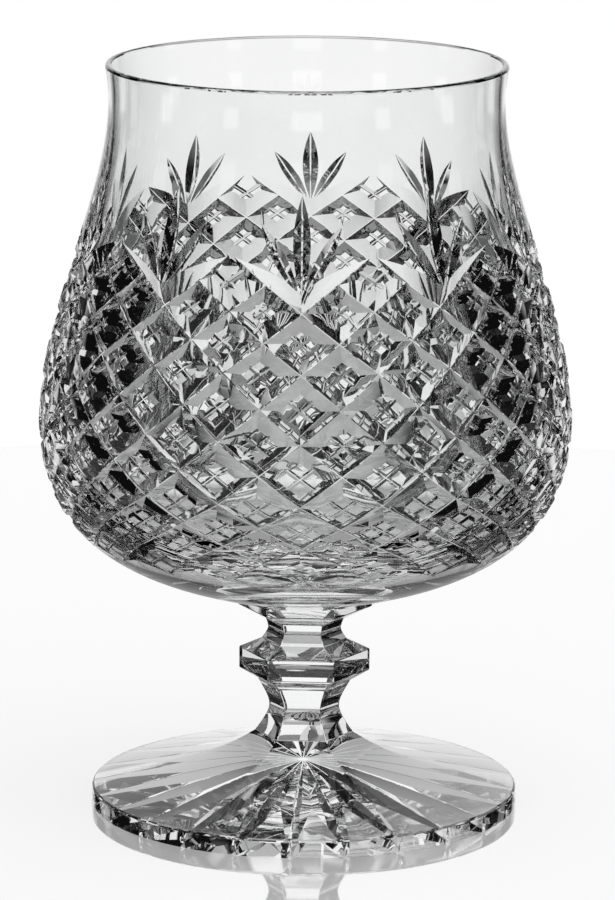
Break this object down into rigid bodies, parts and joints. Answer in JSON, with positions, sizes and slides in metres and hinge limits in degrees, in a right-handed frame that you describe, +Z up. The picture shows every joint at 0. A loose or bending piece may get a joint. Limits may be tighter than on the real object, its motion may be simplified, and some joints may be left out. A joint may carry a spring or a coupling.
{
  "type": "brandy glass",
  "caption": "Cut-crystal brandy glass: wide lattice-cut bowl with fans, hexagonal knopped stem and round star-cut foot.",
  "frame": {"origin": "centre of the flat underside that the glass stands on", "axes": "+Z up along the axis of the glass, -Y towards the front as pictured"},
  "size_m": [0.0992, 0.0992, 0.14],
  "materials": {
    "bowl_crystal": "polished cut crystal",
    "stem_crystal": "polished cut crystal",
    "foot_crystal": "polished cut crystal"
  },
  "bodies": {
    "root": {"bowl": "bowl_crystal", "stem": "stem_crystal", "foot": "foot_crystal"}
  },
  "joints": []
}
